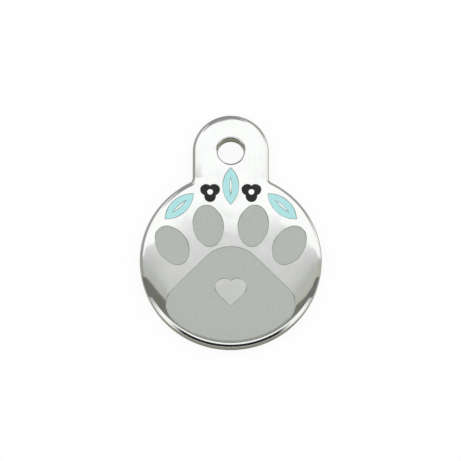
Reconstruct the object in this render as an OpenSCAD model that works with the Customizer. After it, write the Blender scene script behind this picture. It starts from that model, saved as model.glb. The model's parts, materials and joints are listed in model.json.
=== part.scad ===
// Enamelled pet id tag: a polished disc with a round-topped head, drilled for a split ring.
// It lies on its back, centred on the disc: +Y runs to the head and +Z out of the struck face.

/* [Blank] */
// Diameter of the round disc
disc_d = 23; // [20:0.5:30]
// Thickness of the metal
blank_t = 1.8; // [1.6:0.1:3]
// Rounding of the front edge, round the whole outline
front_round = 0.6; // [0.4:0.05:0.9]
// Rounding of the back edge, round the whole outline
back_round = 0.55; // [0.3:0.05:0.65]

/* [Head] */
// Width of the round-topped head
head_w = 9.7; // [8.5:0.1:11]
// Distance from the rim of the disc up to the centre of the hole
hole_above_disc = 2.9; // [2.4:0.1:6]
// Radius of the hollow corner where head and disc meet
neck_fillet = 0.65; // [0.4:0.05:1.5]
// Diameter of the hole for the split ring
hole_d = 3.35; // [2.6:0.05:4]
// Rounding of the hole's two edges
hole_round = 0.28; // [0.1:0.02:0.4]

/* [Enamel cells] */
// Depth of the struck cells below the face
cell_depth = 0.45; // [0.3:0.05:0.8]
// How far the enamel lies below the metal face
enamel_drop = 0.07; // [0.02:0.01:0.15]
// Clearance between the enamel and the wall of its cell
enamel_gap = 0.02; // [0.01:0.01:0.04]
// Width of the metal line left between a cell and the rim, the hole or its neighbour
metal_line = 0.3; // [0.25:0.05:0.5]

/* [Raised metal inside the cells] */
// Width of the heart that stands in the paw's pad
heart_w = 4; // [2:0.1:4.6]
// Width of the rib that stands in each leaf
rib_w = 0.3; // [0.2:0.02:0.4]
// Diameter of the dot that stands in each cluster of berries
berry_dot_d = 0.8; // [0.5:0.05:1.2]

/* [Hidden] */
toe_nodes = ["toe_enamel_outer_left", "toe_enamel_inner_left",
             "toe_enamel_inner_right", "toe_enamel_outer_right"];
leaf_nodes = ["leaf_enamel_left", "leaf_enamel_centre", "leaf_enamel_right"];
berry_nodes = ["berry_enamel_left", "berry_enamel_right"];

$fn = 96;
// Overrun of a cut past the face that it opens
over = 0.5;
// Added to a round that runs smoothly into a side, so that the two cross and don't just touch
lap = 0.002;

disc_r = disc_d / 2;
head_r = head_w / 2;
hole_r = hole_d / 2;
hole_y = disc_r + hole_above_disc;
// Radius of the flat part of the disc's face
face_r = disc_r - front_round;
cell_floor = blank_t - cell_depth;
enamel_t = cell_depth - enamel_drop;

// Centre of the neck's hollow corner: it touches the disc and the side of the head
corner_x = head_r + neck_fillet;
corner_y = sqrt(pow(disc_r + neck_fillet, 2) - pow(corner_x, 2));

// Outermost reach of a cell on the disc
cell_reach = face_r - metal_line;

// The drawing follows the disc, so its sizes and places are shares of the flat face.
function on_face(share) = face_r * share;

// Pad: place and radius of its dome, and radius of its two lobes
dome_y_share = -0.245;
dome_r_share = 0.4;
lobe_r_share = 0.25;
// Turn of the lobes round the disc's centre from straight down
lobe_turn = 43;
heart_y_share = -0.41;

// Toes: length, width and radius of the ends, then each one's x and y, and the angle it leans
toe_l_share = 0.505;
toe_w_share = 0.355;
toe_end_share = 0.131;
toe_place_shares = [[-0.68, 0.17], [-0.262, 0.405], [0.262, 0.405], [0.68, 0.17]];
toe_lean = [32, 9, -9, -32];

// Leaves: length and width, length of the rib, and each one's turn from straight up
leaf_l_share = 0.449;
leaf_w_share = 0.187;
rib_l_share = 0.224;
leaf_turn = [43, 0, -43];
leaf_l = on_face(leaf_l_share);
leaf_w = on_face(leaf_w_share);
leaf_r = cell_reach - leaf_w / 2;
centre_leaf_y = hole_y - hole_r - hole_round - metal_line - leaf_l / 2;

// Berries: radius of each one, how far it lies from the middle of its cluster, and in which directions
berry_r_share = 0.065;
berry_step_share = 0.055;
berry_turns = [30, 150, 270];
berry_r = on_face(berry_r_share);
berry_step = on_face(berry_step_share);
// Clusters: they lie between the leaves, as far out as the rim allows
cluster_r = berry_step + berry_r;
cluster_x = leaf_w / 2 + metal_line + cluster_r;
cluster_y = sqrt(pow(cell_reach - cluster_r, 2) - pow(cluster_x, 2));

// Half of the blank's section, from its middle out to a rounded edge at x = reach
module edge_section(reach) {
  difference() {
    square([reach, blank_t]);
    translate([reach - front_round, blank_t - front_round]) round_corner(front_round);
    translate([reach - back_round, back_round]) mirror([0, 1]) round_corner(back_round);
  }
}

// What a quarter round takes off a square corner, with its centre at the origin
module round_corner(r) {
  difference() {
    square(r + over);
    circle(r);
  }
}

// What a hole of radius r with its two edges rounded takes out of the blank
module flared_section(r, front, back) {
  difference() {
    translate([0, -over]) square([r + max(front, back), blank_t + 2 * over]);
    translate([r, 0]) edge_wall(front, back);
  }
}

// The metal beside such a hole, from its wall at x = 0 outward
module edge_wall(front, back) {
  difference() {
    square([max(front, back) + over, blank_t]);
    translate([front, blank_t - front]) mirror([1, 0]) round_corner(front);
    translate([back, back]) rotate(180) round_corner(back);
  }
}

// Disc with its neck left open: the cut's sides run from the centre to the hollow corners
module open_disc() {
  difference() {
    rotate_extrude() edge_section(disc_r);
    translate([0, 0, -over]) linear_extrude(blank_t + 2 * over)
      polygon([[0, 0], [corner_x, corner_y], [corner_x, disc_d],
               [-corner_x, disc_d], [-corner_x, corner_y]]);
  }
}

// Wedge that closes the neck, with a hollow corner on each side
module neck() {
  difference() {
    linear_extrude(blank_t) polygon([[0, 0], [corner_x, corner_y], [-corner_x, corner_y]]);
    for (side = [-1, 1])
      translate([side * corner_x, corner_y])
        rotate_extrude() flared_section(neck_fillet, front_round, back_round);
  }
}

// Straight sides of the head, from the hollow corners up to the middle of the hole
module head_sides() {
  intersection() {
    translate([0, hole_y]) rotate([90, 0, 0]) linear_extrude(hole_y) {
      edge_section(head_r);
      mirror([1, 0]) edge_section(head_r);
    }
    translate([-head_w, corner_y, -over]) cube([2 * head_w, hole_y, blank_t + 2 * over]);
  }
}

// The parts of the outline meet face to face, so the rounded edge runs on without a step
module blank() {
  open_disc();
  neck();
  head_sides();
  translate([0, hole_y]) rotate_extrude(angle = 180) edge_section(head_r);
}

// The flat shapes below take grow, which moves their outline out all round, or in below zero

// A round dome over two round lobes, with straight sides and a base that follows the rim
module pad_2d(grow) {
  dome = [0, on_face(dome_y_share)];
  dome_r = on_face(dome_r_share) + grow;
  lobe_r = on_face(lobe_r_share) + grow;
  base_r = cell_reach + grow;
  down = [sin(lobe_turn), -cos(lobe_turn)];
  lobe = (base_r - lobe_r) * down;
  // Direction of the radius at which a straight side touches the dome and the lobe
  step = lobe - dome;
  touch = atan2(step[1], step[0]) + acos((dome_r - lobe_r) / norm(step));
  on_dome = dome + dome_r * [cos(touch), sin(touch)];
  on_lobe = lobe + lobe_r * [cos(touch), sin(touch)];
  translate(dome) circle(dome_r + lap);
  translate(lobe) circle(lobe_r + lap);
  translate([-lobe[0], lobe[1]]) circle(lobe_r + lap);
  polygon([on_lobe, on_dome, [-on_dome[0], on_dome[1]], [-on_lobe[0], on_lobe[1]],
           [-lobe[0], lobe[1]], [lobe[0], lobe[1]]]);
  intersection() {
    circle(base_r);
    polygon([[0, 0], disc_d * [-down[0], down[1]], disc_d * down]);
  }
}

// A heart of width w with its point down, centred on the square between its half rounds
module heart_2d(w, grow) {
  // Side of the square that carries the heart's two half rounds
  s = w / (1 + sqrt(2)) * sqrt(2);
  translate([0, -s * sqrt(2) / 2]) rotate(45) {
    translate([-grow, -grow]) square(s + grow);
    translate([s / 2, s]) circle(s / 2 + grow + lap);
    translate([s, s / 2]) circle(s / 2 + grow + lap);
  }
}

// An oval of four arcs along Y: two flat ones for its sides and two round ones for its ends
module oval_2d(l, w, end_r) {
  end_y = l / 2 - end_r;
  side_r = (pow(w / 2, 2) - pow(end_r, 2) + pow(end_y, 2)) / (w - 2 * end_r);
  // Height at which a side runs into an end
  join_y = end_y * side_r / (side_r - end_r);
  intersection() {
    intersection_for (side = [-1, 1]) translate([side * (side_r - w / 2), 0]) circle(side_r);
    translate([-w, -join_y]) square([2 * w, 2 * join_y]);
  }
  for (end = [-1, 1]) translate([0, end * end_y]) circle(end_r + lap);
}

module toe_2d(i, grow) {
  translate(on_face(toe_place_shares[i])) rotate(toe_lean[i])
    oval_2d(on_face(toe_l_share) + 2 * grow, on_face(toe_w_share) + 2 * grow,
            on_face(toe_end_share) + grow);
}

// A pointed oval along Y: two arcs that cross at its tips
module vesica_2d(l, w, grow) {
  r = (pow(l, 2) + pow(w, 2)) / (4 * w);
  intersection_for (side = [-1, 1]) translate([side * (r - w / 2), 0]) circle(r + grow);
}

module place_leaf(i) {
  if (leaf_turn[i] == 0) translate([0, centre_leaf_y]) children();
  else rotate(leaf_turn[i]) translate([0, leaf_r]) rotate(90) children();
}

module leaf_2d(i, grow) {
  place_leaf(i) difference() {
    vesica_2d(leaf_l, leaf_w, grow);
    vesica_2d(on_face(rib_l_share), rib_w, -grow);
  }
}

// A cluster of three berries round a dot
module berry_2d(side, grow) {
  translate([side * cluster_x, cluster_y]) difference() {
    for (turn = berry_turns) rotate(turn) translate([berry_step, 0]) circle(berry_r + grow);
    circle(berry_dot_d / 2 - grow);
  }
}

module pad_with_heart_2d(grow) {
  difference() {
    pad_2d(grow);
    translate([0, on_face(heart_y_share)]) heart_2d(heart_w, -grow);
  }
}

// Cuts the cell of a flat shape into the face
module cell() {
  translate([0, 0, cell_floor]) linear_extrude(cell_depth + over) children();
}

// Enamel that fills a cell from its floor to just below the face
module enamel() {
  translate([0, 0, cell_floor]) linear_extrude(enamel_t) children();
}

module tag_body() {
  color("gainsboro") difference() {
    blank();
    translate([0, hole_y]) rotate_extrude() flared_section(hole_r, hole_round, hole_round);
    cell() pad_with_heart_2d(0);
    for (i = [0:3]) cell() toe_2d(i, 0);
    for (i = [0:2]) cell() leaf_2d(i, 0);
    for (side = [-1, 1]) cell() berry_2d(side, 0);
  }
}

module pad_enamel() {
  color("#b1b6b0") enamel() pad_with_heart_2d(-enamel_gap);
}

module toe_enamel(i) {
  color("#b1b6b0") enamel() toe_2d(i, -enamel_gap);
}

module leaf_enamel(i) {
  color("#acddde") enamel() leaf_2d(i, -enamel_gap);
}

module berry_enamel(i) {
  color("#232626") enamel() berry_2d(i == 0 ? -1 : 1, -enamel_gap);
}

tag_body();
pad_enamel();
for (i = [0:3]) toe_enamel(i);
for (i = [0:2]) leaf_enamel(i);
for (i = [0:1]) berry_enamel(i);
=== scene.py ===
# Enamelled pet id tag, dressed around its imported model: polished blank, enamel fills, small studio.
import json
import math
import bpy
import numpy as np
from mathutils import Matrix, Vector
from mathutils.geometry import delaunay_2d_cdt
from mathutils.kdtree import KDTree


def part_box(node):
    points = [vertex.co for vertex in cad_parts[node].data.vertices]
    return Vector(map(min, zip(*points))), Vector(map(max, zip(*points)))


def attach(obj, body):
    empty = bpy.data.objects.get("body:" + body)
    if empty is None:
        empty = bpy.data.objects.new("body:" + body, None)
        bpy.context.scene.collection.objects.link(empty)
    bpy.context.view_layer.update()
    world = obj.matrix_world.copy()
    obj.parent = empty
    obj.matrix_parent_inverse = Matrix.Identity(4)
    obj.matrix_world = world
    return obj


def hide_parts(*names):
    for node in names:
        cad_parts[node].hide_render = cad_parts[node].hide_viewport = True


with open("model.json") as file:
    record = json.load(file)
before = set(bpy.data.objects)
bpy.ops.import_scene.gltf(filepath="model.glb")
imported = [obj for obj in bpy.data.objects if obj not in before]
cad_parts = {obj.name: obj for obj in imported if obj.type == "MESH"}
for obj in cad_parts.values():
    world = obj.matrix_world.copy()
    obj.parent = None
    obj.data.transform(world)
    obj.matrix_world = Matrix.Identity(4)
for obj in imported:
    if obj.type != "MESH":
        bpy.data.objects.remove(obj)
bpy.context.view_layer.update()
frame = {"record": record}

mm = 0.001           # shapes are drawn in millimetres, meshes are made in metres
straightSteps = 8    # a straight stretch of an outline is cut into this many sides
samePoint = 1e-4     # runs whose ends lie closer than this share a point
mergeWithin = 1e-7
clearOfEdge = 0.6    # share of a grid's spacing that its spots keep from an outline
zUp = Vector((0, 0, 1))


def boxOf(node):
    low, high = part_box(node)
    return low / mm, high / mm


def middleOf(node):
    low, high = boxOf(node)
    return ((low + high) / 2).to_2d()


def mountOf(name):
    return next(m for m in frame["record"]["mounts"] if m["name"] == name)


def atAngle(degrees):
    return Vector((math.cos(math.radians(degrees)), math.sin(math.radians(degrees))))


# A run is a list of (point, outward direction), and runs joined in a ring make an outline
def arcRun(centre, radius, start, end, steps, hollow=False):
    run = []
    for i in range(steps + 1):
        out = atAngle(start + (end - start) * i / steps)
        run.append((Vector(centre) + radius * out, -out if hollow else out))
    return run


def placed(runs, place, turn=0):
    spin = Matrix.Rotation(math.radians(turn), 2)
    return [[(spin @ point + Vector(place), spin @ out) for point, out in run] for run in runs]


class Outline:
    # Points in order, counterclockwise. Every point has the side that follows it, given as the
    # outward directions at that side's two ends.
    def __init__(self, runs):
        self.points, self.sides = [], []
        for run, following in zip(runs, runs[1:] + runs[:1]):
            for (point, out), (_, nextOut) in zip(run, run[1:]):
                self.points.append(point)
                self.sides.append((out, nextOut))
            last, first = run[-1][0], following[0][0]
            if (first - last).length < samePoint:
                continue
            square = Vector((first.y - last.y, last.x - first.x)).normalized()
            for i in range(straightSteps):
                self.points.append(last.lerp(first, i / straightSteps))
                self.sides.append((square, square))


# A spot is inside where it lies within an odd number of the loops
def insideOf(spots, loops):
    x, y = spots[:, :1], spots[:, 1:]
    inside = np.zeros(len(spots), bool)
    for loop in loops:
        ax, ay = loop.T
        bx, by = np.roll(loop, -1, axis=0).T
        rise = np.where(by == ay, 1, by - ay)
        crossed = ((ay > y) != (by > y)) & (x < ax + (y - ay) * (bx - ax) / rise)
        inside ^= crossed.sum(1) % 2 == 1
    return inside


class Skin:
    # Gathers a mesh's corners and faces, and which way the surface looks at each corner of a face
    def __init__(self):
        self.corners, self.faces, self.facing = [], [], []

    def add(self, face, facing):
        a, b, c = (Vector(self.corners[i]) for i in face[:3])
        if (b - a).cross(c - a).dot(sum(facing, Vector())) < 0:
            face, facing = face[::-1], facing[::-1]
        self.faces.append(face)
        self.facing += facing

    def ring(self, outline, heightAt):
        start = len(self.corners)
        self.corners += [(p.x, p.y, heightAt(p.x, p.y)) for p in outline.points]
        return list(range(start, len(self.corners)))

    # Sweeps an outline through steps of (offset, height, tilt) and returns its first and last ring.
    # Tilt 0 faces up, 90 outward and 180 down. A step that only changes the tilt makes a crease.
    def sweep(self, outlineAt, steps, hollow=False):
        first = ring = None
        for offset, heightAt, tilt in steps:
            if ring and (offset, heightAt) == (lastOffset, lastHeight):
                lastTilt = tilt
                continue
            outline = outlineAt(offset)
            nextRing = self.ring(outline, heightAt)
            if ring:
                self.band(ring, nextRing, lastOutline.sides, outline.sides, lastTilt, tilt, hollow)
            first = first or nextRing
            ring, lastOutline = nextRing, outline
            lastOffset, lastHeight, lastTilt = offset, heightAt, tilt
        return first, ring

    def band(self, ring, nextRing, sides, nextSides, tilt, nextTilt, hollow):
        def lean(out, tilt):
            out = -out if hollow else out
            return math.cos(math.radians(tilt)) * zUp + math.sin(math.radians(tilt)) * out.to_3d()

        for i in range(len(ring)):
            j = (i + 1) % len(ring)
            self.add([ring[i], ring[j], nextRing[j], nextRing[i]],
                     [lean(sides[i][0], tilt), lean(sides[i][1], tilt),
                      lean(nextSides[i][1], nextTilt), lean(nextSides[i][0], nextTilt)])

    # Fills the area within the first ring and round the others, with triangles over a grid
    def fill(self, rings, heightAt, facingAt, spacing=None):
        loops = [np.array([self.corners[i][:2] for i in ring]) for ring in rings]
        spots = [tuple(spot) for loop in loops for spot in loop]
        known = [i for ring in rings for i in ring]
        edges = []
        for loop in loops:
            start = len(edges)
            edges += [(start + i, start + (i + 1) % len(loop)) for i in range(len(loop))]
        if spacing:
            spots += self.gridWithin(loops, spacing)
        spots = [Vector(spot) for spot in spots]
        made, _, triangles, origins, _, _ = delaunay_2d_cdt(spots, edges, [], 0, mergeWithin)
        index = []
        for spot, origin in zip(made, origins):
            if origin and origin[0] < len(known):
                index.append(known[origin[0]])
            else:
                index.append(len(self.corners))
                self.corners.append((spot.x, spot.y, heightAt(spot.x, spot.y)))
        middles = np.array([tuple(spot) for spot in made])[np.array(triangles)].mean(1)
        for triangle, keep in zip(triangles, insideOf(middles, loops)):
            if keep:
                facing = [facingAt(made[i].x, made[i].y) for i in triangle]
                self.add([index[i] for i in triangle], facing)

    # Spots of a triangular grid that lie within the loops, and not close to them
    def gridWithin(self, loops, spacing):
        near = KDTree(sum(len(loop) for loop in loops))
        for i, spot in enumerate(np.concatenate(loops)):
            near.insert((*spot, 0), i)
        near.balance()
        (left, bottom), (right, top) = loops[0].min(0), loops[0].max(0)
        rowStep = spacing * math.sqrt(3) / 2
        grid = [(left + (column + row % 2 / 2) * spacing, bottom + row * rowStep)
                for row in range(int((top - bottom) / rowStep) + 1)
                for column in range(int((right - left) / spacing) + 1)]
        kept = insideOf(np.array(grid), loops)
        return [spot for spot, keep in zip(grid, kept)
                if keep and near.find((*spot, 0))[2] > clearOfEdge * spacing]

    def piece(self, name, material, node):
        mesh = bpy.data.meshes.new(name)
        mesh.from_pydata([Vector(c) * mm for c in self.corners], [], self.faces)
        mesh.polygons.foreach_set("use_smooth", [True] * len(mesh.polygons))
        mesh.normals_split_custom_set([f.normalized() for f in self.facing])
        mesh.materials.append(material)
        made = bpy.data.objects.new(name, mesh)
        bpy.context.collection.objects.link(made)
        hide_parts(node)
        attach(made, "root")
        print(name, "has", len(mesh.polygons), "faces")


def facingUp(x, y):
    return zUp


def facingDown(x, y):
    return -zUp


def levelAt(z):
    return lambda x, y: z


# Blank: one plate, with its edge rounded all the way round disc, neck and head
blank = {
    "frontRound": 0.6,    # where the front edge's rounding starts, in from the outline
    "backRound": 0.55,
    "neckRound": 0.65,    # radius of the hollow corners between disc and head
    "headW": 9.7,
    "holeRound": 0.28,    # rounding of the hole's edges
    "rollWidth": 3.2,     # strip of the face that falls off towards its rounded edge
    "rollTilt": 5,        # degrees that the face has tilted where the rounding starts
    "rollPower": 3.2,     # how late in its strip the face falls off
    "innerRound": 0.55,   # radius between the face and the bevel
    "bevel": (25.5, 28.5, 0.33),  # flatter band in the front rounding: tilt at both ends, width
    "arcStep": 2,         # degrees
    "edgeSteps": (4, 2, 7),       # across inner rounding, bevel and outer rounding
    "backSteps": 8,
    "holeSteps": 6,
    "grid": 0.45,
    "backGrid": 1.35,
}
high = boxOf("tag_body")[1]
discR = high.x
blankT = high.z
headR = blank["headW"] / 2
hole = mountOf("ring_hole")
holeAt = Vector(hole["pos_m"][:2]) / mm
holeR = hole["dims"]["r_mm"]
neckX = headR + blank["neckRound"]
neckY = math.sqrt((discR + blank["neckRound"]) ** 2 - neckX ** 2)
neckAngle = math.degrees(math.atan2(neckY, neckX))
rollEnd = blank["frontRound"] + blank["rollWidth"]
rollSlope = math.tan(math.radians(blank["rollTilt"]))
rollDrop = rollSlope * blank["rollWidth"] / blank["rollPower"]
print("blank is", round(2 * discR, 1), "mm wide and", round(blankT, 1), "mm thick")


def arcSteps(degrees):
    return round(degrees / blank["arcStep"])


# The blank's outline, moved in by inset
def blankOutline(inset):
    neckR = blank["neckRound"] + inset
    wide, half, small = arcSteps(180 + 2 * neckAngle), arcSteps(180), arcSteps(2 * neckAngle)
    return Outline([
        arcRun((0, 0), discR - inset, 180 - neckAngle, 360 + neckAngle, wide),
        arcRun((neckX, neckY), neckR, 180 + neckAngle, 180, small, hollow=True),
        arcRun(holeAt, headR - inset, 0, 180, half),
        arcRun((-neckX, neckY), neckR, 0, -neckAngle, small, hollow=True)])


def holeOutline(offset):
    return Outline([arcRun(holeAt, holeR + offset, 0, 360, arcSteps(360) // 2)])


# Distance from a spot on the blank to its outline
def insetAt(x, y):
    side = abs(x)
    if y < 0 or side * neckY >= y * neckX:
        return discR - math.hypot(x, y)
    if y <= neckY:
        return math.hypot(neckX - side, neckY - y) - blank["neckRound"]
    if y <= holeAt.y:
        return headR - side
    return headR - math.hypot(x, y - holeAt.y)


# Height of the polished face, which is flat but for its roll towards the outline
def faceAt(drop=0):
    def height(x, y):
        share = max(0, rollEnd - insetAt(x, y)) / blank["rollWidth"]
        return blankT - rollDrop * share ** blank["rollPower"] - drop
    return height


faceHeight = faceAt()


def faceFacing(x, y):
    step = 0.01
    slopeX = (faceHeight(x + step, y) - faceHeight(x - step, y)) / (2 * step)
    slopeY = (faceHeight(x, y + step) - faceHeight(x, y - step)) / (2 * step)
    return Vector((-slopeX, -slopeY, 1)).normalized()


# Steps round a quarter circle: (offset from the wall, fall from the face, tilt)
def quarter(r, count):
    steps = []
    for i in range(count + 1):
        tilt = 90 * i / count
        a = math.radians(tilt)
        steps.append((r * (1 - math.sin(a)), r * (1 - math.cos(a)), tilt))
    return steps


# Enamel cells. The drawing follows the flat face, so most of its sizes are shares of that
# face's radius. Steps are the sides that an arc is cut into.
cells = {
    "cellRound": 0.07,    # rounding that polishing leaves along a cell's edge
    "roundSteps": 4,
    "gap": 0.012,         # between enamel and wall
    "rise": 0.03,         # how far the enamel climbs its wall
    "riseWidth": {"grey": 0.16, "aqua": 0.16, "black": 0.08},
    "riseSteps": 4,
    "underside": 0.004,   # the enamel's clearance above its cell's floor
    "grid": 0.5,
}
pad = {
    "domeYShare": -0.245,
    "domeRShare": 0.4,
    "lobeRShare": 0.25,
    "lobeTurn": 43,       # degrees from straight down
    "heartYShare": -0.41,
    "heartW": 4.0,
    "baseSteps": 44,
    "lobeSteps": 24,
    "domeSteps": 36,
    "heartSteps": 28,
}
toe = {
    "lengthShare": 0.505,
    "widthShare": 0.355,
    "endRShare": 0.131,
    "lean": {"outer_left": 32, "inner_left": 9, "inner_right": -9, "outer_right": -32},
    "sideSteps": 12,
    "endSteps": 20,
}
leaf = {
    "lengthShare": 0.449,
    "widthShare": 0.187,
    "ribLengthShare": 0.224,
    "ribW": 0.3,
    "turn": {"left": 133, "centre": 0, "right": 47},
    "sideSteps": 22,
}
berry = {
    "rShare": 0.065,
    "stepShare": 0.055,   # from the middle of the cluster to each of its berries
    "turns": (30, 150, 270),
    "dotR": 0.4,
    "sides": ["left", "right"],
    "edgeSteps": 24,
    "dotSteps": 48,
}
faceR = discR - blank["frontRound"]
padLow, padHigh = boxOf("pad_enamel")
cellFloor = padLow.z
enamelDrop = blankT - padHigh.z
cellReach = round(-padLow.y, 1)


# A dome over two lobes, with straight sides and a base that follows the rim
def padOutline(grow):
    domeAt, domeR = Vector((0, pad["domeYShare"] * faceR)), pad["domeRShare"] * faceR
    lobeR, down = pad["lobeRShare"] * faceR, pad["lobeTurn"] - 90
    lobeAt = (cellReach - lobeR) * atAngle(down)
    step = lobeAt - domeAt
    touch = math.degrees(math.atan2(step.y, step.x) + math.acos((domeR - lobeR) / step.length))
    return Outline([
        arcRun((0, 0), cellReach + grow, -180 - down, down, pad["baseSteps"]),
        arcRun(lobeAt, lobeR + grow, down, touch, pad["lobeSteps"]),
        arcRun(domeAt, domeR + grow, touch, 180 - touch, pad["domeSteps"]),
        arcRun((-lobeAt.x, lobeAt.y), lobeR + grow, 180 - touch, 180 - down, pad["lobeSteps"])])


# A square on its corner with a half round on each of its two upper sides
def heartOutline(grow):
    side = pad["heartW"] * math.sqrt(2) / (1 + math.sqrt(2))
    roundR = side / 2 + grow
    notch = (3 * side + math.sqrt(8 * roundR ** 2 - side ** 2)) / 4
    toNotch = math.degrees(math.atan2(notch - side / 2, notch - side))
    point = [(Vector((-grow, -grow)), atAngle(225))]
    right = arcRun((side, side / 2), roundR, -90, toNotch, pad["heartSteps"])
    left = arcRun((side / 2, side), roundR, 90 - toNotch, 180, pad["heartSteps"])
    pointY = pad["heartYShare"] * faceR - side / math.sqrt(2)
    return Outline(placed([point, right, left], (0, pointY), 45))


# An oval of four arcs: flat ones for its sides and round ones for its ends
def ovalRuns(length, width, endR, grow):
    endY = length / 2 - endR
    sideR = ((width / 2) ** 2 - endR ** 2 + endY ** 2) / (width - 2 * endR)
    sideX = sideR - width / 2
    join = math.degrees(math.asin(endY / (sideR - endR)))
    return [
        arcRun((-sideX, 0), sideR + grow, -join, join, toe["sideSteps"]),
        arcRun((0, endY), endR + grow, join, 180 - join, toe["endSteps"]),
        arcRun((sideX, 0), sideR + grow, 180 - join, 180 + join, toe["sideSteps"]),
        arcRun((0, -endY), endR + grow, 180 + join, 360 - join, toe["endSteps"])]


# A pointed oval of two arcs that cross at its tips
def pointedRuns(length, width, grow):
    r = (length ** 2 + width ** 2) / (4 * width)
    x = r - width / 2
    half = math.degrees(math.acos(x / (r + grow)))
    return [
        arcRun((-x, 0), r + grow, -half, half, leaf["sideSteps"]),
        arcRun((x, 0), r + grow, 180 - half, 180 + half, leaf["sideSteps"])]


def toeOutline(which):
    at, turn = middleOf("toe_enamel_" + which), toe["lean"][which]
    sizes = [toe[share] * faceR for share in ("lengthShare", "widthShare", "endRShare")]
    return lambda grow: Outline(placed(ovalRuns(*sizes, grow), at, turn))


def leafOutline(which, length, width):
    at, turn = middleOf("leaf_enamel_" + which), leaf["turn"][which]
    return lambda grow: Outline(placed(pointedRuns(length, width, grow), at, turn))


# Three berries round a dot. The cluster's middle lies a quarter of a step above its box's.
def clusterOutlines(which):
    step = berry["stepShare"] * faceR
    at = middleOf("berry_enamel_" + which) + Vector((0, step / 4))

    def edge(grow):
        r = berry["rShare"] * faceR + grow
        notch = (step + math.sqrt(4 * r ** 2 - 3 * step ** 2)) / 2
        half = math.degrees(math.atan2(notch * math.sqrt(3) / 2, notch / 2 - step))
        return Outline([
            arcRun(at + step * atAngle(turn), r, turn - half, turn + half, berry["edgeSteps"])
            for turn in berry["turns"]])

    def dot(grow):
        return Outline([arcRun(at, berry["dotR"] + grow, 0, 360, berry["dotSteps"])])

    return edge, dot


# Each cell: names of its fill and its node, kind of enamel, outline, and the outline of the
# metal left standing in it
drawing = [("pad_fill", "pad_enamel", "grey", padOutline, heartOutline)]
for which in toe["lean"]:
    drawing.append((f"toe_{which}_fill", f"toe_enamel_{which}", "grey", toeOutline(which), None))
for which in leaf["turn"]:
    edge = leafOutline(which, leaf["lengthShare"] * faceR, leaf["widthShare"] * faceR)
    rib = leafOutline(which, leaf["ribLengthShare"] * faceR, leaf["ribW"])
    drawing.append((f"leaf_{which}_fill", f"leaf_enamel_{which}", "aqua", edge, rib))
for which in berry["sides"]:
    edge, dot = clusterOutlines(which)
    drawing.append((f"berry_{which}_fill", f"berry_enamel_{which}", "black", edge, dot))
print("drawing has", len(drawing), "cells")


# Steps over the front edge, from the face's rim to the upright wall:
# (inset, fall from the rim, tilt)
def frontEdge():
    bevelStart, bevelEnd, bevelW = blank["bevel"]
    bevelR = bevelW / math.radians(bevelEnd - bevelStart)
    steps = [(blank["frontRound"], 0, blank["rollTilt"])]
    ends, radii = (bevelStart, bevelEnd, 90), (blank["innerRound"], bevelR, None)
    for end, r, count in zip(ends, radii, blank["edgeSteps"]):
        inset, fall, start = steps[-1]
        sinStart, cosStart = math.sin(math.radians(start)), math.cos(math.radians(start))
        r = r or inset / (1 - sinStart)  # the outer rounding ends on the outline
        for i in range(1, count + 1):
            tilt = start + (end - start) * i / count
            a = math.radians(tilt)
            steps.append((inset - r * (math.sin(a) - sinStart),
                          fall + r * (cosStart - math.cos(a)), tilt))
    return steps


def makeBlank(material):
    skin = Skin()
    rimZ = blankT - rollDrop
    edge = [(inset, levelAt(rimZ - fall), tilt) for inset, fall, tilt in frontEdge()]
    backEdge = quarter(blank["backRound"], blank["backSteps"])
    edge += [(inset, levelAt(fall), 180 - tilt) for inset, fall, tilt in reversed(backEdge)]
    rim, backRim = skin.sweep(blankOutline, edge)
    holeEdge = quarter(blank["holeRound"], blank["holeSteps"])
    bore = [(offset, faceAt(fall), tilt) for offset, fall, tilt in holeEdge]
    bore += [(offset, levelAt(fall), 180 - tilt) for offset, fall, tilt in reversed(holeEdge)]
    mouth, backMouth = skin.sweep(holeOutline, bore, hollow=True)
    faceRings = [rim, mouth]
    cellEdge = quarter(cells["cellRound"], cells["roundSteps"])
    for _, _, _, outer, inner in drawing:
        floorRings = []
        for outline, sign in ((outer, 1), (inner, -1)):
            if outline:
                wall = [(sign * offset, faceAt(fall), tilt) for offset, fall, tilt in cellEdge]
                wall.append((0, levelAt(cellFloor), 90))
                top, bottom = skin.sweep(outline, wall, hollow=sign > 0)
                faceRings.append(top)
                floorRings.append(bottom)
        skin.fill(floorRings, levelAt(cellFloor), facingUp)
    skin.fill(faceRings, faceHeight, faceFacing, blank["grid"])
    skin.fill([backRim, backMouth], levelAt(0), facingDown, blank["backGrid"])
    skin.piece("blank", material, "tag_body")


# A fill stands just below the metal and climbs its walls a little, as enamel does when baked
def makeFill(name, node, kind, outer, inner, material):
    skin = Skin()
    gap, rise, width = cells["gap"], cells["rise"], cells["riseWidth"][kind]
    under = levelAt(cellFloor + cells["underside"])
    tops, bottoms = [], []
    for outline, sign in ((outer, 1), (inner, -1)):
        if outline:
            steps = []
            for i in range(cells["riseSteps"] + 1):
                share = i / cells["riseSteps"]
                inward = gap + width * (1 - share)
                tilt = -math.degrees(math.atan(2 * rise / width * share))
                steps.append((-sign * inward, faceAt(enamelDrop - rise * share ** 2), tilt))
            steps.append((*steps[-1][:2], 90))
            steps.append((-sign * gap, under, 90))
            top, bottom = skin.sweep(outline, steps, hollow=sign < 0)
            tops.append(top)
            bottoms.append(bottom)
    skin.fill(tops, faceAt(enamelDrop), faceFacing, cells["grid"])
    skin.fill(bottoms, under, facingDown)
    skin.piece(name, material, node)


# Materials
def newMaterial(name):
    material = bpy.data.materials.new(name)
    material.use_nodes = True
    tree = material.node_tree
    return material, tree, tree.nodes["Principled BSDF"]


def newNode(tree, kind, **settings):
    node = tree.nodes.new(kind)
    for name, value in settings.items():
        if name in node.inputs:
            node.inputs[name].default_value = value
        else:
            setattr(node, name, value)
    return node


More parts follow.
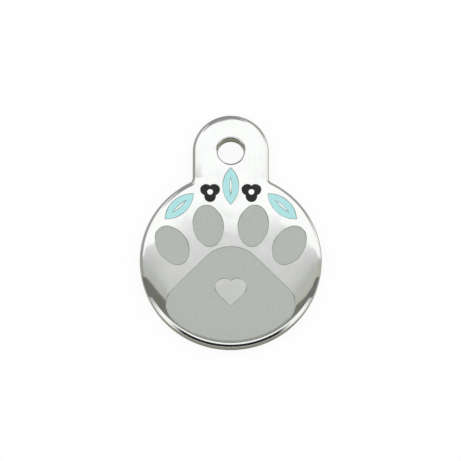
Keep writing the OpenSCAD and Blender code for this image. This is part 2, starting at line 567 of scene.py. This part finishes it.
# Noise whose size is given as features per millimetre
def grain(tree, perMm, detail=2, stretch=(1, 1, 1)):
    place = newNode(tree, "ShaderNodeTexCoord")
    scale = newNode(tree, "ShaderNodeMapping")
    scale.inputs["Scale"].default_value = [s / mm for s in stretch]
    noise = newNode(tree, "ShaderNodeTexNoise", Scale=perMm, Detail=detail)
    tree.links.new(place.outputs["Object"], scale.inputs["Vector"])
    tree.links.new(scale.outputs["Vector"], noise.inputs["Vector"])
    return noise.outputs["Fac"]


def ramp(tree, factor, stops):
    node = newNode(tree, "ShaderNodeValToRGB")
    elements = node.color_ramp.elements
    while len(elements) < len(stops):
        elements.new(0.5)
    for element, (at, colour) in zip(elements, stops):
        element.position = at
        element.color = (*colour, 1) if isinstance(colour, tuple) else (colour, colour, colour, 1)
    tree.links.new(factor, node.inputs["Fac"])
    return node.outputs["Color"]


# How far a surface faces up or down: 1 on the face and the back, 0 on the edge
def upness(tree):
    parts = newNode(tree, "ShaderNodeSeparateXYZ")
    tree.links.new(newNode(tree, "ShaderNodeTexCoord").outputs["Normal"], parts.inputs["Vector"])
    size = newNode(tree, "ShaderNodeMath", operation="ABSOLUTE")
    tree.links.new(parts.outputs["Z"], size.inputs[0])
    return size.outputs["Value"]


# Bumps in a row, each with its height in millimetres
def bumps(tree, shader, *layers):
    normal = None
    for height, source in layers:
        node = newNode(tree, "ShaderNodeBump", Strength=1.0, Distance=height * mm)
        tree.links.new(source, node.inputs["Height"])
        if normal:
            tree.links.new(normal, node.inputs["Normal"])
        normal = node.outputs["Normal"]
    tree.links.new(normal, shader.inputs["Normal"])


# Lists of pairs are stops: a noise value, height or upness, and what the finish has there
metal = {
    "face": [(0.35, (0.645, 0.655, 0.645)), (0.6, (0.66, 0.67, 0.66))],
    # by height, as a share of the thickness: the cut edge is darker than the face, partly as a duller
    # cut finish and partly as painted shade, and darkest near the back, where it is a painted contact
    # shadow
    "edge": [(0.48, (0.13, 0.13, 0.11)), (0.68, (0.26, 0.257, 0.22))],
    "shadedEdgeByUpness": [(0.7, 1.0), (0.92, 0.0)],
    "grazing": (0.64, 0.63, 0.55),
    "roughness": [(0.4, 0.03), (0.7, 0.07)],
    "marksByUpness": [(0.97, 0.0), (0.99, 1.0)],
    "patchesPerMm": 0.5,
    "smearsPerMm": 1.1,
    "wavesPerMm": 0.22,    # slow waves that polishing leaves
    "marksPerMm": 9,
    "smearStretch": (1, 0.5, 1),
    "markStretch": (1, 0.12, 1),   # fine polishing strokes, only where the metal is flat
    "waveHeight": 0.006,   # mm
    "markHeight": 0.0003,
}


def metalMaterial():
    material, tree, shader = newMaterial("polishedMetal")
    shader.inputs["Metallic"].default_value = 1
    shader.inputs["Specular Tint"].default_value = (*metal["grazing"], 1)
    face = ramp(tree, grain(tree, metal["patchesPerMm"], detail=3), metal["face"])
    height = newNode(tree, "ShaderNodeSeparateXYZ")
    tree.links.new(newNode(tree, "ShaderNodeTexCoord").outputs["Object"], height.inputs["Vector"])
    share = newNode(tree, "ShaderNodeMath", operation="DIVIDE")
    tree.links.new(height.outputs["Z"], share.inputs[0])
    share.inputs[1].default_value = blankT * mm
    up = upness(tree)
    # the edge tone mixed in here is partly a duller cut finish and partly painted shade; its
    # darkening towards the back is a painted contact shadow
    tone = newNode(tree, "ShaderNodeMixRGB")
    tree.links.new(ramp(tree, up, metal["shadedEdgeByUpness"]), tone.inputs["Fac"])
    tree.links.new(face, tone.inputs["Color1"])
    tree.links.new(ramp(tree, share.outputs["Value"], metal["edge"]), tone.inputs["Color2"])
    tree.links.new(tone.outputs["Color"], shader.inputs["Base Color"])
    smears = grain(tree, metal["smearsPerMm"], detail=4, stretch=metal["smearStretch"])
    tree.links.new(ramp(tree, smears, metal["roughness"]), shader.inputs["Roughness"])
    strokes = grain(tree, metal["marksPerMm"], stretch=metal["markStretch"])
    marks = newNode(tree, "ShaderNodeMath", operation="MULTIPLY")
    tree.links.new(strokes, marks.inputs[0])
    tree.links.new(ramp(tree, up, metal["marksByUpness"]), marks.inputs[1])
    waves = grain(tree, metal["wavesPerMm"], detail=1)
    bumps(tree, shader,
          (metal["waveHeight"], waves), (metal["markHeight"], marks.outputs["Value"]))
    print("metal is mixed")
    return material


enamels = {
    "grey": {
        "colour": (0.43, 0.46, 0.425),
        "deep": (0.405, 0.435, 0.402),
        "slot": "grey_enamel"},
    "aqua": {
        "colour": (0.43, 0.745, 0.755),
        "deep": (0.40, 0.715, 0.725),
        "slot": "aqua_enamel"},
    "black": {
        "colour": (0.006, 0.007, 0.007),
        "deep": (0.004, 0.005, 0.005),
        "slot": "black_enamel"},
}
enamelFinish = {
    "specular": 0.3,
    "roughness": [(0.35, 0.16), (0.65, 0.26)],
    "mottle": (0.3, 0.65),   # noise values that give the deep tone and the colour
    "mottlesPerMm": 2.5,
    "smearsPerMm": 1.2,
    "wavesPerMm": 0.9,
    "pitsPerMm": 14,
    "waveHeight": 0.006,     # mm
    "pitHeight": 0.0004,
}


def enamelMaterial(kind):
    material, tree, shader = newMaterial(kind + "Enamel")
    shader.inputs["Specular IOR Level"].default_value = enamelFinish["specular"]
    mottles = grain(tree, enamelFinish["mottlesPerMm"], detail=4)
    stops = list(zip(enamelFinish["mottle"], (enamels[kind]["deep"], enamels[kind]["colour"])))
    tree.links.new(ramp(tree, mottles, stops), shader.inputs["Base Color"])
    smears = grain(tree, enamelFinish["smearsPerMm"])
    tree.links.new(ramp(tree, smears, enamelFinish["roughness"]), shader.inputs["Roughness"])
    waves = grain(tree, enamelFinish["wavesPerMm"], detail=1)
    pits = grain(tree, enamelFinish["pitsPerMm"], detail=1)
    bumps(tree, shader, (enamelFinish["waveHeight"], waves), (enamelFinish["pitHeight"], pits))
    print(kind, "enamel is mixed")
    return material


makeBlank(metalMaterial())
enamelFor = {kind: enamelMaterial(kind) for kind in enamels}
for name, node, kind, outer, inner in drawing:
    makeFill(name, node, kind, outer, inner, enamelFor[kind])


# Studio: a pale floor in a light tent. Directions are unit vectors, levels are shares of the
# tent's own, and lists of pairs are stops.
studio = {
    "floorR": 1.2,
    "floorStep": 5,           # degrees
    "floorColour": (0.95, 0.95, 0.95),
    "floorRoughness": 0.9,
    "floorGlow": 0.9,         # share of the floor's white that no shadow reaches
    "level": 1.48,
    "skirt": (0.05, 0.06),    # plain white below this height
    "wall": [(0.1, 0.5), (0.24, 0.52), (0.34, 1.0)],   # by height
    "window": [(0.3, 0.4), (0.65, 0.8)],               # by x: lights the wall at the right
    # two panels overhead, by y: the near one ends and the far one begins, a dark gap between
    "nearPanel": [(0.04, 1), (0.065, 0)],
    "nearSlant": 0.205,       # the near one ends sooner away from the middle
    "farPanel": [(0.108, 0.165), (0.1135, 1)],
    # by x: how much further back the far one begins
    "farBend": [(-0.75, 0), (-0.19, 0.121), (-0.07, 0.1135), (0, 0.1),
                (0.12, 0.089), (0.15, 0.0905), (0.19, 0.103), (0.75, 0)],
    # a scrim dims the far one's front, by y, and bends by x
    "scrim": [(0.24, 0.47), (0.253, 0.55), (0.276, 0.68), (0.28, 0.7), (0.2825, 1)],
    "scrimBend": [(-0.14, 0.0175), (0, 0), (0.14, 0.0135)],
    # the gap is paler near its middle, by y and by distance to the side
    "gapGlow": [(0.08, 0.3), (0.13, 0.28), (0.18, 0.1)],
    "gapSide": [(0.17, 1), (0.25, 0)],
    "endPanel": [(0.82, 0), (0.9, 0.95)],              # by distance to the side
    "tint": [(0.04, (1, 1, 1)), (0.08, (0.98, 1, 0.87)),
             (0.22, (0.98, 1, 0.87)), (0.27, (1, 1, 1))],
    "folds": [(0.35, 0.95), (0.5, 1.0)],               # by noise
    "foldScale": 90,
    # dark hoops that the edge mirrors as a line: levels across the hoop and at its ends
    "hoops": [
        {"axis": (0, 0.227, 0.974),
         "across": [(0.56, 1), (0.572, 0.02), (0.682, 0.02), (0.69, 1)],
         "byX": [(-0.6, 1), (-0.48, 0), (0.48, 0), (0.6, 1)],
         "byY": [(-0.25, 0), (-0.15, 1)]},
        {"axis": (0, 0.324, 0.946),
         "across": [(0.46, 1), (0.48, 0.36), (0.625, 0.36), (0.645, 1)],
         "byX": [(0.58, 0), (0.74, 1)],
         "byY": [(-0.05, 1), (0.1, 0)]}],
    # dark cards: direction, stretch, radius of the dark middle and of the soft edge, level
    "cards": [
        ((0, -0.95, 0.35), (0.42, 0.3, 1), 0.3, 0.38, 0.38),
        ((-0.11, 0.8, 0.6), (1.2, 1, 0.6), 0.38, 0.4, 0.3),
        ((-0.76, -0.08, 0.65), (1, 1, 1), 0.03, 0.2, 0.45),
        ((0.76, -0.06, 0.65), (1, 1, 1), 0.02, 0.17, 0.45)],
    "sun": {"strength": 0.32, "angle": 70, "from": (-0.2, -0.35, 1)},
}


def makeFloor():
    rim = [studio["floorR"] * atAngle(a).to_3d() for a in range(0, 360, studio["floorStep"])]
    mesh = bpy.data.meshes.new("floor")
    mesh.from_pydata(rim, [], [list(range(len(rim)))])
    material, tree, shader = newMaterial("paleFloor")
    shader.inputs["Base Color"].default_value = (*studio["floorColour"], 1)
    shader.inputs["Roughness"].default_value = studio["floorRoughness"]
    shader.inputs["Specular IOR Level"].default_value = 0.0
    path = newNode(tree, "ShaderNodeLightPath")
    seen = path.outputs["Is Camera Ray"]
    for way in ("Is Glossy Ray", "Is Transmission Ray"):
        either = newNode(tree, "ShaderNodeMath", operation="MAXIMUM")
        tree.links.new(seen, either.inputs[0])
        tree.links.new(path.outputs[way], either.inputs[1])
        seen = either.outputs["Value"]
    share = newNode(tree, "ShaderNodeMath", operation="MULTIPLY")
    share.inputs[1].default_value = studio["floorGlow"]
    tree.links.new(seen, share.inputs[0])
    white = newNode(tree, "ShaderNodeEmission", Strength=1.0)
    mix = newNode(tree, "ShaderNodeMixShader")
    tree.links.new(share.outputs["Value"], mix.inputs["Fac"])
    tree.links.new(shader.outputs["BSDF"], mix.inputs[1])
    tree.links.new(white.outputs["Emission"], mix.inputs[2])
    tree.links.new(mix.outputs["Shader"], tree.nodes["Material Output"].inputs["Surface"])
    mesh.materials.append(material)
    floor = bpy.data.objects.new("floor", mesh)
    bpy.context.collection.objects.link(floor)


def makeTent():
    world = bpy.data.worlds.new("tent")
    bpy.context.scene.world = world
    world.use_nodes = True
    tree = world.node_tree
    direction = newNode(tree, "ShaderNodeTexCoord").outputs["Generated"]
    parts = newNode(tree, "ShaderNodeSeparateXYZ")
    tree.links.new(direction, parts.inputs["Vector"])
    x, y, z = parts.outputs

    # One step of arithmetic on values or sockets
    def worked(operation, a, b=0, kind="Math"):
        node = newNode(tree, "ShaderNode" + kind, operation=operation)
        for value, socket in zip((a, b), node.inputs):
            if isinstance(value, bpy.types.NodeSocket):
                tree.links.new(value, socket)
            else:
                socket.default_value = value
        return node.outputs

    def maths(operation, a, b=0):
        return worked(operation, a, b)["Value"]

    # A ramp that spans its stops, which keeps it as fine as it can be
    def along(value, stops):
        first, span = stops[0][0], stops[-1][0] - stops[0][0]
        share = maths("DIVIDE", maths("SUBTRACT", value, first), span)
        return ramp(tree, share, [((at - first) / span, level) for at, level in stops])

    light = maths("MAXIMUM", along(z, studio["wall"]), along(x, studio["window"]))
    side = maths("ABSOLUTE", x)
    slant = maths("MULTIPLY", side, studio["nearSlant"])
    near = along(maths("ADD", y, slant), studio["nearPanel"])
    far = along(maths("SUBTRACT", y, along(x, studio["farBend"])), studio["farPanel"])
    scrim = along(maths("SUBTRACT", y, along(x, studio["scrimBend"])), studio["scrim"])
    gap = maths("MULTIPLY", along(y, studio["gapGlow"]), along(side, studio["gapSide"]))
    panels = maths("MINIMUM", far, scrim)
    for other in (near, gap, along(side, studio["endPanel"])):
        panels = maths("MAXIMUM", panels, other)
    light = maths("MULTIPLY", light, panels)
    for hoop in studio["hoops"]:
        reach = worked("DOT_PRODUCT", direction, hoop["axis"], "VectorMath")["Value"]
        ends = maths("MAXIMUM", along(x, hoop["byX"]), along(y, hoop["byY"]))
        light = maths("MINIMUM", light, maths("MAXIMUM", along(reach, hoop["across"]), ends))
    for towards, stretch, middle, edge, level in studio["cards"]:
        away = worked("SUBTRACT", direction, towards, "VectorMath")["Vector"]
        scaled = worked("MULTIPLY", away, stretch, "VectorMath")["Vector"]
        length = worked("LENGTH", scaled, (0, 0, 0), "VectorMath")["Value"]
        light = maths("MINIMUM", light, ramp(tree, length, [(middle, level), (edge, 1.0)]))
    folds = newNode(tree, "ShaderNodeTexNoise", Scale=studio["foldScale"], Detail=1)
    tree.links.new(direction, folds.inputs["Vector"])
    light = maths("MULTIPLY", light, ramp(tree, folds.outputs["Fac"], studio["folds"]))
    tinted = newNode(tree, "ShaderNodeMixRGB", blend_type="MULTIPLY", Fac=1.0)
    tree.links.new(light, tinted.inputs["Color1"])
    tree.links.new(along(y, studio["tint"]), tinted.inputs["Color2"])
    white = 1 / studio["level"]
    skirt = newNode(tree, "ShaderNodeMixRGB", Color1=(white, white, white, 1))
    low, high = studio["skirt"]
    tree.links.new(along(z, [(low, 0.0), (high, 1.0)]), skirt.inputs["Fac"])
    tree.links.new(tinted.outputs["Color"], skirt.inputs["Color2"])
    tree.links.new(skirt.outputs["Color"], tree.nodes["Background"].inputs["Color"])
    tree.nodes["Background"].inputs["Strength"].default_value = studio["level"]


# Soft light for the enamel and the floor, left out of what the metal mirrors
def makeSun():
    look = studio["sun"]
    lamp = bpy.data.lights.new("sun", "SUN")
    lamp.energy = look["strength"]
    lamp.angle = math.radians(look["angle"])
    sun = bpy.data.objects.new("sun", lamp)
    bpy.context.collection.objects.link(sun)
    sun.rotation_euler = Vector(look["from"]).to_track_quat("Z", "Y").to_euler()
    sun.visible_glossy = False


makeFloor()
makeTent()
makeSun()
print("studio has its floor, tent and sun")


# Camera: a long lens, almost square to the face
shot = {
    "azimuth": 0,
    "elevation": 73.7,
    "distance": 0.4,
    "lens": 246.6,
    "aim": (-0.00003, 0.00379, 0.0018),
    "nearest": 0.01,
}


def makeCamera():
    camera = bpy.data.objects.new("camera", bpy.data.cameras.new("camera"))
    bpy.context.collection.objects.link(camera)
    turn, rise = math.radians(shot["azimuth"]), math.radians(shot["elevation"])
    level = Vector((math.sin(turn), -math.cos(turn), 0))
    back = math.cos(rise) * level + math.sin(rise) * zUp
    camera.location = Vector(shot["aim"]) + shot["distance"] * back
    camera.rotation_euler = back.to_track_quat("Z", "Y").to_euler()
    camera.data.lens = shot["lens"]
    camera.data.clip_start = shot["nearest"]
    bpy.context.scene.camera = camera


makeCamera()
bpy.context.scene.view_settings.view_transform = "Standard"
print("camera is set")
